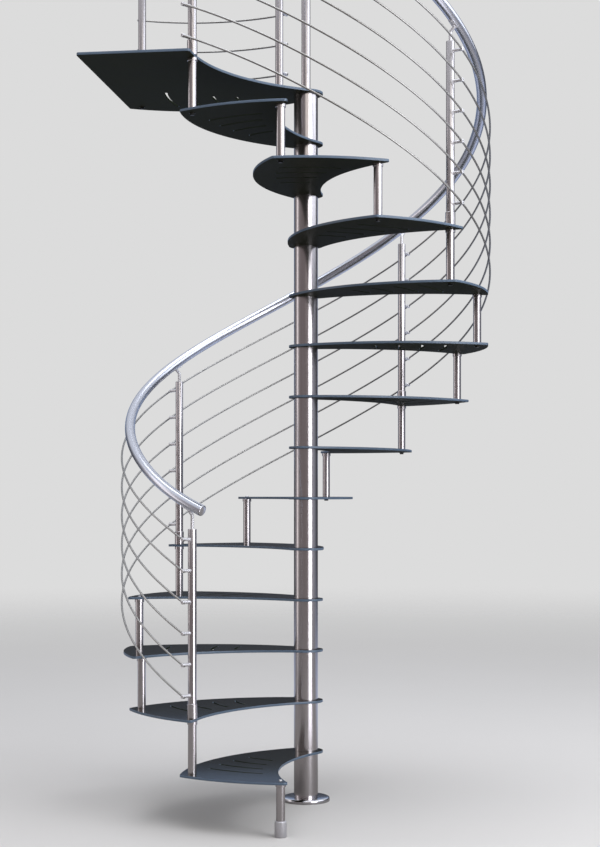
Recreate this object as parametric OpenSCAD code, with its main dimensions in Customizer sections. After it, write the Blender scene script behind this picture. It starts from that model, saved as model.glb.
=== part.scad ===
// Spiral stair of steel plate treads round a stacked column, with a rod balustrade.
// Millimetres. The origin is on the column's axis at floor level, with Z up.
// Post 0, at the foot of the first tread, stands on the -Y side, and the stair
// climbs clockwise seen from above, one tread for each turn of tread_turn.

/* [Storey] */
// Height from the floor to the top of the landing
floor_height = 3000; // [2600:10:3400]

/* [Column] */
// Outside diameter of the column tube
column_d = 101.6; // [88.9:0.1:120]
// Wall of the column tube
column_wall = 4; // [2:0.5:8]
// Diameter of the floor flange
flange_d = 202; // [180:1:260]
// Thickness of the floor flange
flange_h = 18; // [12:1:30]
// Rounding of the flange's upper rim
flange_round = 9; // [3:0.5:11]
// Diameter of the newel that stands on the column at the landing
newel_d = 38; // [30:0.5:48]
// Wall of the newel tube
newel_wall = 2.6; // [2:0.1:4]

/* [Treads] */
// Radius of the outer edge of a tread
tread_r = 768; // [745:1:800]
// Thickness of the tread plate
plate_t = 10; // [6:0.5:14]
// Diameter of the eye that sits in the column
hub_d = 144; // [128:1:160]
// Radius of the hollow nosing
nose_r = 745; // [700:1:800]
// Direction of the nosing's centre from the front post line
nose_turn = 58.9; // [57:0.1:61]
// Radius of the bowed rear edge
rear_r = 750; // [700:1:800]
// Direction of the rear edge's centre from the front post line
rear_turn = 30.2; // [29:0.1:32]
// Rounding of the two outer tips
tip_round = 14; // [6:1:20]
// Width of a tread slot
slot_w = 12; // [6:0.5:16]
// Radius of the innermost slot
slot_first_r = 300; // [270:1:330]
// Distance from one slot to the next
slot_pitch = 97; // [70:1:105]
// Distance from the nosing to a slot
slot_front_gap = 70; // [40:1:100]
// Distance from the rear edge to a slot
slot_rear_gap = 100; // [70:1:130]

/* [Landing] */
// Distance from the column's axis to the exit edge
landing_side = 797; // [770:1:830]
// Distance from the column's axis to the front edge
landing_front = 725; // [700:1:750]
// Turn of the landing's rear edge beyond that of a tread
landing_extra_turn = 40; // [35:0.5:45]
// Rounding of the landing's corners
corner_round = 12; // [4:1:20]
// Angle between the two landing posts, about the centre of the rear edge
landing_post_angle = 51; // [40:0.5:54]

/* [Posts] */
// Distance from the outer edge of a tread in to the middle of a post
post_inset = 46; // [33:1:58]
// Diameter of the spacer posts and balusters
post_d = 33.7; // [30:0.1:38]
// Wall of the spacer posts and balusters
post_wall = 2.6; // [2:0.1:4]
// Diameter of the collar under a tread
collar_d = 40; // [38:0.5:46]
// Height of the collar under a tread
collar_h = 13; // [6:1:20]
// Diameter of the foot ferrule
ferrule_d = 46; // [40:0.5:56]
// Height of the foot ferrule
ferrule_h = 61; // [40:1:90]
// Diameter of the sleeve round a baluster's foot
sleeve_d = 40; // [39:0.5:48]
// Height of the sleeve round a baluster's foot
sleeve_h = 58; // [40:1:58]

/* [Handrail] */
// Diameter of the handrail
rail_d = 42.4; // [38:0.1:48]
// Distance from the posts' circle out to the handrail's helix
rail_out = 20; // [16:1:26]
// Height of the handrail's centre above a baluster's tread
rail_h = 817; // [780:1:1000]
// Height of the landing handrail's centre above the landing
landing_rail_h = 905; // [890:1:1000]
// Height of the handrail's centre above the top of the post that carries it
pin_stand = 82; // [76:1:100]
// Diameter of the pin that carries the handrail
pin_d = 13; // [10:0.5:14]
// Diameter of the knuckle on top of the pin
knuckle_d = 16; // [14.5:0.5:20]
// Diameter of the arm from the knuckle to the saddle
pin_arm_d = 12; // [8:0.5:13]
// Rise of that arm above the level
pin_lift = 45; // [40:1:55]
// Length of the saddle under the handrail
saddle_l = 46; // [30:1:56]
// Width of the saddle under the handrail
saddle_w = 20; // [16:1:26]
// Thickness of the saddle under the handrail
saddle_t = 4; // [3:0.5:6]
// Thickness of the handrail's end caps
cap_t = 5; // [3:0.5:10]
// Height by which the handrail's lower end is eased up
rail_ease_h = 25; // [0:1:35]
// Turn over which the handrail's lower end is eased
rail_ease_turn = 25; // [15:1:40]

/* [Rods] */
// Diameter of a balustrade rod
rod_d = 8; // [6:0.5:10]
// Distance from the posts' circle out to the rods' helix
rod_out = 54; // [48:1:66]
// Height of the lowest rod above a baluster's tread
rod_first_h = 90; // [84:1:100]
// Distance from the top rod up to the top of a baluster
rod_top_gap = 40; // [20:1:60]
// Height of the lowest landing rod above the landing
landing_rod_first_h = 125; // [100:1:140]
// Distance from the top landing rod up to the top of a landing post
landing_rod_top_gap = 48; // [20:1:60]
// Length that a rod's end stands out of its clamp's middle
rod_end = 9; // [8:1:20]
// Diameter of a clamp's arm
arm_d = 12; // [8:0.5:13]
// Diameter of a clamp's head
head_d = 14; // [13.5:0.5:20]
// Length of a clamp's head
head_l = 14; // [12:1:26]
// Height by which the rods' upper ends are eased down
rod_ease_h = 25; // [0:1:25]
// Turn over which the rods' upper ends are eased
rod_ease_turn = 32; // [15:1:40]

/* [Fits] */
// Clearance all round where one piece passes through another
fit = 0.3; // [0.2:0.05:0.4]

/* [Hidden] */
tread_count = 13;
tread_turn = 30;
rod_count = 6;
slot_count = 4;
rail_sides = 16;
rod_sides = 8;
step_turn = 5;
riser = floor_height / (tread_count + 1);
climb = riser / tread_turn;
hub_r = hub_d / 2;
half_turn = 180;
degree = half_turn / PI;
post_r = tread_r - post_inset;
rail_r = post_r + rail_out;
rod_r = post_r + rod_out;
baluster_h = rail_h - pin_stand;
landing_post_h = landing_rail_h - pin_stand;
rod_pitch = (baluster_h - rod_first_h - rod_top_gap) / (rod_count - 1);
landing_rod_pitch = (landing_post_h - landing_rod_first_h - landing_rod_top_gap) / (rod_count - 1);
// Depth by which one outline runs into the next, so that they weld
weld = 1;
// Amount by which a rounded tip stands past its edges, so that it welds
tip_weld = 0.02;
nose_l = nose_r + hub_r - weld;
rear_l = rear_r - hub_r + weld;
baluster_posts = [1, 4, 7, 10, 13];
first_post = baluster_posts[0];
last_post = baluster_posts[len(baluster_posts) - 1];
rail_start_turn = 5;
far = 2000;
$fn = 96;

// Direction, length and blend of plan points
function polar(r, a) = [r * cos(a), r * sin(a)];
function blend(p, q, t) = p + (q - p) * t;

// Angle between sides a and b of a triangle whose third side is c
function facing(a, b, c) = acos((a * a + b * b - c * c) / (2 * a * b));

// Turn at which a circle round the axis meets the nosing or the rear edge
function nose_angle(r) = nose_turn - facing(r, nose_l, nose_r);
function rear_angle(r) = rear_turn - facing(r, rear_l, rear_r);

// A tread faces +X before it is turned, and its rear edge lies on the -Y side
module at_post(n) {
    rotate([0, 0, -90 - n * tread_turn]) children();
}

module tube(d, wall, h) {
    linear_extrude(height = h) difference() {
        circle(d = d);
        circle(d = d - 2 * wall);
    }
}

// Tube with a closed upper end
module capped_tube(d, wall, h) {
    difference() {
        cylinder(d = d, h = h);
        translate([0, 0, -1]) cylinder(d = d - 2 * wall, h = h - wall + 1);
    }
}

// Rounds one outer corner, whose fillet touches the edges at t1 and t2
module round_corner(centre, t1, t2, r) {
    difference() {
        children();
        polygon([centre, blend(centre, t1, 6), blend(centre, (t1 + t2) / 2, 16), blend(centre, t2, 6)]);
    }
    translate(centre) circle(r = r + tip_weld);
}

module nose_circle() {
    translate(polar(nose_l, nose_turn)) circle(r = nose_r, $fn = 360);
}

module rear_circle(turn) {
    translate(polar(rear_l, turn)) circle(r = rear_r, $fn = 360);
}

// The part of the plan between the hub's two tangent points
module blade_sector(last) {
    span = nose_turn - last;
    polygon(concat([[0, 0]], [for (i = [0:6]) polar(far, nose_turn - span * i / 6)]));
}

// Fillet centres of the tread's front and rear tips
tip_r = tread_r - tip_round;
tip_front_angle = nose_turn - facing(tip_r, nose_l, nose_r + tip_round);
tip_rear_angle = rear_turn - facing(tip_r, rear_l, rear_r - tip_round);
tip_front = polar(tip_r, tip_front_angle);
tip_rear = polar(tip_r, tip_rear_angle);

module tread_outline() {
    nose_c = polar(nose_l, nose_turn);
    rear_c = polar(rear_l, rear_turn);
    circle(d = hub_d);
    front_touch = blend(nose_c, tip_front, nose_r / (nose_r + tip_round));
    rear_touch = blend(rear_c, tip_rear, rear_r / (rear_r - tip_round));
    round_corner(tip_front, polar(tread_r, tip_front_angle), front_touch, tip_round)
        round_corner(tip_rear, polar(tread_r, tip_rear_angle), rear_touch, tip_round)
            difference() {
                intersection() {
                    circle(r = tread_r, $fn = 360);
                    rear_circle(rear_turn);
                    blade_sector(rear_turn - half_turn);
                }
                nose_circle();
            }
}

// One arc-shaped slot with round ends
module slot(r, from, to) {
    intersection() {
        difference() {
            circle(r = r + slot_w / 2, $fn = 180);
            circle(r = r - slot_w / 2, $fn = 180);
        }
        polygon(concat([[0, 0]], [for (i = [0:4]) polar(far, from + (to - from) * i / 4)]));
    }
    for (a = [from, to]) translate(polar(r, a)) circle(r = slot_w / 2 + tip_weld, $fn = 24);
}

module tread_slots() {
    for (i = [0:slot_count - 1]) {
        r = slot_first_r + i * slot_pitch;
        from = nose_angle(r) - slot_front_gap / r * degree;
        to = rear_angle(r) + slot_rear_gap / r * degree;
        slot(r, from, to);
    }
}

module tread(m) {
    color("#3c4658") translate([0, 0, m * riser - plate_t]) at_post(m - 1)
        linear_extrude(height = plate_t) difference() {
            tread_outline();
            tread_slots();
        }
}

// Landing, drawn in plan as it lies
landing_turn = -90 - tread_count * tread_turn;
landing_rear_c = polar(rear_l, landing_turn + rear_turn - landing_extra_turn);
landing_nose_c = polar(nose_l, landing_turn + nose_turn);

module landing_outline() {
    r = corner_round;
    a = [-landing_side + r, -landing_front + r];
    b_y = -landing_front + r;
    b = [landing_nose_c[0] - sqrt(pow(nose_r + r, 2) - pow(b_y - landing_nose_c[1], 2)), b_y];
    c_x = -landing_side + r;
    c = [c_x, landing_rear_c[1] + sqrt(pow(rear_r - r, 2) - pow(c_x - landing_rear_c[0], 2))];
    circle(d = hub_d);
    round_corner(a, a - [r, 0], a - [0, r], r)
        round_corner(b, b - [0, r], blend(landing_nose_c, b, nose_r / (nose_r + r)), r)
            round_corner(c, c - [r, 0], blend(landing_rear_c, c, rear_r / (rear_r - r)), r)
                intersection() {
                    translate([-landing_side, -landing_front]) square([far, far]);
                    rotate([0, 0, landing_turn]) intersection() {
                        blade_sector(rear_turn - landing_extra_turn - half_turn);
                        difference() {
                            rear_circle(rear_turn - landing_extra_turn);
                            nose_circle();
                        }
                    }
                }
}

module landing() {
    color("#3c4658") translate([0, 0, floor_height - plate_t])
        linear_extrude(height = plate_t) difference() {
            landing_outline();
            rotate([0, 0, landing_turn - landing_extra_turn]) tread_slots();
        }
}

module base_flange() {
    color("#c9ccd0") rotate_extrude() {
        square([flange_d / 2 - flange_round, flange_h]);
        square([flange_d / 2, flange_h - flange_round]);
        translate([flange_d / 2 - flange_round, flange_h - flange_round]) intersection() {
            circle(r = flange_round, $fn = 48);
            square(flange_round);
        }
    }
}

module column_tubes() {
    color("#c3c6ca") {
        translate([0, 0, flange_h]) tube(column_d, column_wall, riser - plate_t - flange_h);
        for (m = [1:tread_count]) translate([0, 0, m * riser]) tube(column_d, column_wall, riser - plate_t);
    }
}

module newel_post() {
    color("#c3c6ca") translate([0, 0, floor_height]) capped_tube(newel_d, newel_wall, landing_post_h);
}

module foot_ferrule() {
    color("#c9ccd0") at_post(0) translate([post_r, 0, 0]) cylinder(d = ferrule_d, h = ferrule_h);
}

// Spacer with the collar on which the next tread lies
module spacer(h) {
    difference() {
        union() {
            cylinder(d = post_d, h = h);
            translate([0, 0, h - collar_h]) cylinder(d = collar_d, h = collar_h);
        }
        translate([0, 0, -1]) cylinder(d = post_d - 2 * post_wall, h = h + 2);
    }
}

module foot_post() {
    color("#c3c6ca") at_post(0) translate([post_r, 0, ferrule_h]) spacer(riser - plate_t - ferrule_h);
}

module spacer_posts() {
    color("#c3c6ca") for (n = [1:tread_count]) at_post(n) translate([post_r, 0, n * riser])
        spacer(riser - plate_t);
}

// Height of the tread on which the baluster of post n stands
function stand_z(n) = (n + 1) * riser;

module balusters() {
    color("#c3c6ca") for (n = baluster_posts) at_post(n) translate([post_r, 0, stand_z(n)])
        capped_tube(post_d, post_wall, baluster_h);
}

module sleeve() {
    linear_extrude(height = sleeve_h) difference() {
        circle(d = sleeve_d);
        circle(d = post_d + 2 * fit);
    }
}

module baluster_sleeves() {
    color("#d2d4d7") for (n = baluster_posts) at_post(n) translate([post_r, 0, stand_z(n)]) sleeve();
}

// Directions outward and up the climb at a turn
function out_dir(a) = [-sin(a), -cos(a), 0];
function along_dir(a) = [-cos(a), sin(a), 0];

// Height of the handrail's and a rod's centre at a turn, with their eased ends
rail_from = first_post * tread_turn - rail_start_turn;
rail_to = last_post * tread_turn + rail_start_turn;
rail_ease_to = rail_from + rail_ease_turn;
rod_ease_from = last_post * tread_turn - rod_ease_turn;
function rail_lift(a) = a < rail_ease_to ? rail_ease_h * pow((rail_ease_to - a) / rail_ease_turn, 2) : 0;
function rod_drop(a) = a > rod_ease_from ? rod_ease_h * pow((a - rod_ease_from) / rod_ease_turn, 2) : 0;
function rail_z(a) = riser + rail_h + climb * a + rail_lift(a);
function rod_z(i, a) = riser + rod_first_h + (i - 1) * rod_pitch + climb * a - rod_drop(a);

// Middle and slope of one straight stretch between two sections
half_step = step_turn / 2;
function chord_l(r) = 2 * r * sin(half_step);
function rail_mid(a) = (rail_z(a - half_step) + rail_z(a + half_step)) / 2;
function rail_slope(a) = atan((rail_z(a + half_step) - rail_z(a - half_step)) / chord_l(rail_r));
function rod_mid(i, a) = (rod_z(i, a - half_step) + rod_z(i, a + half_step)) / 2;
function rod_slope(a) = atan((rod_z(1, a + half_step) - rod_z(1, a - half_step)) / chord_l(rod_r));

// Round bar through the given turns and heights, cut off near both ends
module climbing_bar(r, d, sides, turns, heights, cut) {
    last = len(turns) - 1;
    ring = [for (k = [0:sides - 1]) 360 * (k + 0.5) / sides];
    rows = [for (i = [0:last])
        let (a = turns[i],
             p = max(i - 1, 0),
             q = min(i + 1, last),
             slope = atan((heights[q] - heights[p]) / ((q - p) * chord_l(r))),
             up = [0, 0, cos(slope)] - sin(slope) * along_dir(a),
             c = r * out_dir(a) + [0, 0, heights[i]])
        [for (t = ring) c + d / 2 * (cos(t) * out_dir(a) + sin(t) * up)]];
    trimmed = [for (i = [0:last]) [for (k = [0:sides - 1])
        i == 0 ? blend(rows[0][k], rows[1][k], cut)
        : i == last ? blend(rows[last][k], rows[last - 1][k], cut)
        : rows[i][k]]];
    points = [for (row = trimmed) for (p = row) p];
    sides_list = [for (i = [0:last - 1]) for (k = [0:sides - 1])
        let (j = (k + 1) % sides)
        each [[i * sides + k, i * sides + j, (i + 1) * sides + j],
              [i * sides + k, (i + 1) * sides + j, (i + 1) * sides + k]]];
    ends = [[for (k = [sides - 1:-1:0]) k], [for (k = [0:sides - 1]) last * sides + k]];
    polyhedron(points = points, faces = concat(sides_list, ends));
}

module handrail() {
    turns = [for (a = [rail_from - half_step:step_turn:rail_to + half_step]) a];
    heights = [for (a = turns) rail_z(a)];
    color("#c3c6ca") climbing_bar(rail_r, rail_d, rail_sides, turns, heights, 0.5);
}

module rod(i) {
    from = first_post * tread_turn;
    to = last_post * tread_turn;
    turns = [for (a = [from - half_step:step_turn:to + half_step]) a];
    heights = [for (a = turns) rod_z(i, a)];
    cut = 0.5 - rod_end * cos(rod_slope(from)) / chord_l(rod_r);
    color("#a9adb2") climbing_bar(rod_r, rod_d, rod_sides, turns, heights, cut);
}

// Places children at the middle of a straight stretch, with X outward and Y down the slope
module on_bar(r, z, a, slope) {
    at_post(a / tread_turn) translate([r * cos(half_step), 0, z]) rotate([-slope, 0, 0]) children();
}

module handrail_caps() {
    color("#d2d4d7") {
        on_bar(rail_r, rail_mid(rail_from), rail_from, rail_slope(rail_from))
            rotate([-90, 0, 0]) cylinder(d = rail_d, h = cap_t);
        on_bar(rail_r, rail_mid(rail_to), rail_to, rail_slope(rail_to))
            rotate([90, 0, 0]) cylinder(d = rail_d, h = cap_t);
    }
}

// Pin with a ball knuckle, from which an arm reaches out along X and up to the saddle
module bent_pin(h, reach) {
    cylinder(d = pin_d, h = h);
    translate([0, 0, h]) {
        sphere(d = knuckle_d);
        rotate([0, 90 - pin_lift, 0]) cylinder(d = pin_arm_d, h = reach / cos(pin_lift));
    }
}

// Underside of the rail's lowest flat, measured square to the rail
rail_flat = rail_d / 2 * cos(half_turn / rail_sides);

// Bent pin and saddle under a rail at height h, with X outward and the tread's top at zero
module rail_bracket(h, slope) {
    seat_r = rail_r * cos(half_step);
    saddle_mid = -rail_flat - fit / 2 - saddle_t / 2;
    reach = seat_r - post_r;
    pin_h = h + saddle_mid / cos(slope) - reach * tan(pin_lift) - baluster_h;
    difference() {
        translate([post_r, 0, baluster_h]) bent_pin(pin_h, reach);
        translate([seat_r, 0, h]) rotate([-slope, 0, 0]) translate([0, 0, saddle_mid + rail_d])
            cube([4 * rail_d, 4 * rail_d, 2 * rail_d], center = true);
    }
    translate([seat_r, 0, h]) rotate([-slope, 0, 0]) translate([0, 0, saddle_mid])
        cube([saddle_w, saddle_l, saddle_t], center = true);
}

module rail_brackets() {
    color("#c3c6ca") for (n = baluster_posts) at_post(n) translate([0, 0, stand_z(n)])
        rail_bracket(rail_mid(n * tread_turn) - stand_z(n), rail_slope(n * tread_turn));
}

// Clamp that stands out along X from a post's face, with its head round a rod at reach
module clamp(reach, slope) {
    difference() {
        union() {
            rotate([0, 90, 0]) cylinder(d = arm_d, h = reach);
            translate([reach - head_l / 2, 0, 0]) rotate([0, 90, 0]) cylinder(d = head_d, h = head_l);
        }
        cylinder(d = post_d + fit, h = 2 * head_d, center = true);
        translate([reach, 0, 0]) rotate([90 - slope, 0, 0])
            cylinder(d = rod_d + 2 * fit, h = 3 * head_d, center = true);
    }
}

module rod_clamps() {
    reach = rod_r * cos(half_step) - post_r;
    color("#8d9197") for (n = baluster_posts) for (i = [1:rod_count])
        at_post(n) translate([post_r, 0, rod_mid(i, n * tread_turn)]) clamp(reach, rod_slope(n * tread_turn));
}

// Landing posts and level rods follow the landing's rear edge
landing_post_circle = rear_r - post_inset;
landing_rod_circle = landing_post_circle + rod_out;
landing_post_turns = [-landing_post_angle / 2, landing_post_angle / 2];

// Turns children about the rear edge's centre, with X outward
module on_rear(turn) {
    translate(concat(landing_rear_c, [floor_height])) rotate([0, 0, 90 - turn]) children();
}

module landing_posts() {
    color("#c3c6ca") for (t = landing_post_turns) on_rear(t) translate([landing_post_circle, 0, 0])
        capped_tube(post_d, post_wall, landing_post_h);
}

module landing_sleeves() {
    color("#d2d4d7") for (t = landing_post_turns) on_rear(t) translate([landing_post_circle, 0, 0]) sleeve();
}

module landing_rod_clamps() {
    color("#8d9197") for (t = landing_post_turns) for (i = [0:rod_count - 1]) on_rear(t)
        translate([landing_post_circle, 0, landing_rod_first_h + i * landing_rod_pitch])
            clamp(landing_rod_circle - landing_post_circle, 0);
}

module landing_rods() {
    span = landing_post_angle + 2 * rod_end / landing_rod_circle * degree;
    color("#a9adb2") for (i = [0:rod_count - 1]) on_rear(span / 2)
        translate([0, 0, landing_rod_first_h + i * landing_rod_pitch])
            rotate_extrude(angle = span, $fn = 240) translate([landing_rod_circle, 0])
                circle(d = rod_d, $fn = 24);
}

// The landing handrail runs over both posts and on past the newel
newel_off = landing_post_circle - rear_l;
newel_side = atan2(-landing_rear_c[0], -landing_rear_c[1]);
landing_rail_end = rail_start_turn * rail_r / landing_post_circle;
landing_rail_from = -landing_post_angle / 2 - landing_rail_end;
landing_rail_to = newel_side + landing_rail_end;

module landing_handrail() {
    color("#c3c6ca") on_rear(landing_rail_to) translate([0, 0, landing_rail_h])
        rotate_extrude(angle = landing_rail_to - landing_rail_from, $fn = 240)
            translate([landing_post_circle, 0]) circle(d = rail_d, $fn = 48);
}

module landing_rail_caps() {
    color("#d2d4d7") {
        on_rear(landing_rail_to) translate([landing_post_circle, 0, landing_rail_h])
            rotate([90, 0, 0]) cylinder(d = rail_d, h = cap_t);
        on_rear(landing_rail_from) translate([landing_post_circle, 0, landing_rail_h])
            rotate([-90, 0, 0]) cylinder(d = rail_d, h = cap_t);
    }
}

// Saddle under the level handrail, and the pins that carry it
level_saddle_top = landing_rail_h - rail_d / 2 - fit / 2;

module level_saddle() {
    translate([landing_post_circle, 0, level_saddle_top - saddle_t / 2])
        cube([saddle_w, saddle_l, saddle_t], center = true);
}

module straight_bracket() {
    level_saddle();
    translate([landing_post_circle, 0, landing_post_h])
        cylinder(d = pin_d, h = level_saddle_top - saddle_t / 2 - landing_post_h);
}

module newel_bracket() {
    pin_h = level_saddle_top - saddle_t / 2 - newel_off * tan(pin_lift) - landing_post_h;
    level_saddle();
    difference() {
        translate([landing_post_circle - newel_off, 0, landing_post_h]) bent_pin(pin_h, newel_off);
        translate([landing_post_circle, 0, level_saddle_top - saddle_t / 2 + rail_d])
            cube([4 * rail_d, 4 * rail_d, 2 * rail_d], center = true);
    }
}

module landing_brackets() {
    color("#c3c6ca") {
        for (t = landing_post_turns) on_rear(t) straight_bracket();
        on_rear(newel_side) newel_bracket();
    }
}

base_flange();
column_tubes();
newel_post();
tread(1);  // tread_01
tread(2);  // tread_02
tread(3);  // tread_03
tread(4);  // tread_04
tread(5);  // tread_05
tread(6);  // tread_06
tread(7);  // tread_07
tread(8);  // tread_08
tread(9);  // tread_09
tread(10);  // tread_10
tread(11);  // tread_11
tread(12);  // tread_12
tread(13);  // tread_13
landing();
foot_post();
foot_ferrule();
spacer_posts();
balusters();
baluster_sleeves();
rail_brackets();
rod_clamps();
rod(1);  // rod_1
rod(2);  // rod_2
rod(3);  // rod_3
rod(4);  // rod_4
rod(5);  // rod_5
rod(6);  // rod_6
handrail();
handrail_caps();
landing_posts();
landing_sleeves();
landing_rod_clamps();
landing_rods();
landing_brackets();
landing_handrail();
landing_rail_caps();
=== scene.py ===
"""Models and finishes a steel spiral stair round its construction frame."""
import math

import bpy
from mathutils import Matrix, Vector


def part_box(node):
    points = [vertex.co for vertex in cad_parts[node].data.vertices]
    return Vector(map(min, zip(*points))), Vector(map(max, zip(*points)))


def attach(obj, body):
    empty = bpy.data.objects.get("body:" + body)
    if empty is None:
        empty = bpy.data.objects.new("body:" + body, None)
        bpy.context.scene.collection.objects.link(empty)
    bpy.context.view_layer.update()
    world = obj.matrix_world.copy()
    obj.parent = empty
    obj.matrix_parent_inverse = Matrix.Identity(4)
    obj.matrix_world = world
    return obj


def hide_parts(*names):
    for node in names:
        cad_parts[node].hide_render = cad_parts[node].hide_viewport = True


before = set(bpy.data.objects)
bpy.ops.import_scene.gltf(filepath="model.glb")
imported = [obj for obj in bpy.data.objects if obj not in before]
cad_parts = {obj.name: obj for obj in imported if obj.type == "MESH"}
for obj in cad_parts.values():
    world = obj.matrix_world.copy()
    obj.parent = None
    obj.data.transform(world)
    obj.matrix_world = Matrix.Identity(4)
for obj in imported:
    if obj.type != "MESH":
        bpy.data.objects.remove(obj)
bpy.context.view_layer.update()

bl_info = {
    "name": "Spiral Stair",
    "version": (1, 0, 0),
    "blender": (4, 5, 0),
    "location": "View3D > Sidebar > Stair",
    "description": "Models and finishes a steel spiral stair round its construction frame",
    "category": "Object",
}

TREADS = ["tread_%02d" % number for number in range(1, 14)]
LEVELS = range(1, len(TREADS) + 1)
RODS = ["rod_%d" % number for number in range(1, 7)]
MM = 0.001

# Posts are numbered from the stair's foot, one for each step of turn
POST_TURN = math.radians(30)
BALUSTER_POSTS = (1, 4, 7, 10, 13)
SCREW_POSTS = (0, 2, 3, 5, 6, 8, 9, 11, 12)
LAST_TURN = BALUSTER_POSTS[-1] * POST_TURN
MIDDLE_TURN = 6 * POST_TURN
FLIGHT_TURN = (BALUSTER_POSTS[-1] - BALUSTER_POSTS[0]) * POST_TURN
# Turn by which a handrail runs past its outer posts
RAIL_PAST = math.radians(5)
# Landing posts, in degrees along the landing's rear arc
LANDING_POSTS = (-25.5, 25.5)

# Sides of round pieces and steps of swept ones
COLUMN_SIDES = 64
FLANGE_SIDES = 96
FITTING_SIDES = 40
POST_SIDES = 32
RAIL_SIDES = 32
CLAMP_SIDES = 24
PIN_SIDES = 20
ROD_SIDES = 16
RAIL_STEPS = 296
ROD_STEPS = 240
LEVEL_RAIL_STEPS = 60
LEVEL_ROD_STEPS = 40

# Fine edges in millimetres
TUBE_EDGE = 0.6
COLLAR_EDGE = 0.8
FOOT_EDGE = 0.5
SLEEVE_EDGE = 1.2
TIP_ROUND = 2

# Limits in metres and angles for merging, smoothing and rounding meshes
MERGE_GAP = 0.00001
FRAME_MERGE_GAP = 0.00002
FRAME_FLAT_ANGLE = math.radians(0.3)
SMOOTH_ANGLE = math.radians(32)
PLATE_SHARP_ANGLE = math.radians(40)
SADDLE_SHARP_ANGLE = math.radians(30)

# Form of the handrail's pins and saddles, in metres and angles
PIN_LEAN = math.radians(48)
PIN_BEND = 0.016
SADDLE_HALF_SPAN = math.radians(28)
SADDLE_EDGE = 0.0008

# Camera, fitted to the column, the posts and the treads' edges
LENS_MM = 67.04
SENSOR_MM = 36
LENS_SHIFT = (-0.00698, 0.08235)
CAMERA_PLACE = (0.8864, -6.628, 1.302)
CAMERA_TURN = math.radians(7.617)


def extent(node, axis):
    """Length of a frame node along one axis."""
    low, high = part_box(node)
    return high[axis] - low[axis]


def length(name, description, default):
    """Property for a length in metres."""
    return bpy.props.FloatProperty(
        name=name, description=description, default=default, precision=4, subtype="DISTANCE", unit="LENGTH")


def turn_property(name, description, degrees):
    """Property for an angle given in degrees."""
    return bpy.props.FloatProperty(
        name=name, description=description, default=math.radians(degrees), subtype="ANGLE", unit="ROTATION")


def linear(code):
    """Linear colour of an sRGB hex value."""
    shades = [int(code[place:place + 2], 16) / 255 for place in (1, 3, 5)]
    return [s / 12.92 if s <= 0.04045 else ((s + 0.055) / 1.055) ** 2.4 for s in shades] + [1.0]


def colour(name, description, code):
    """Property for a colour given as an sRGB hex value."""
    return bpy.props.FloatVectorProperty(
        name=name, description=description, default=linear(code), size=4, min=0, max=1, subtype="COLOR")


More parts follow.
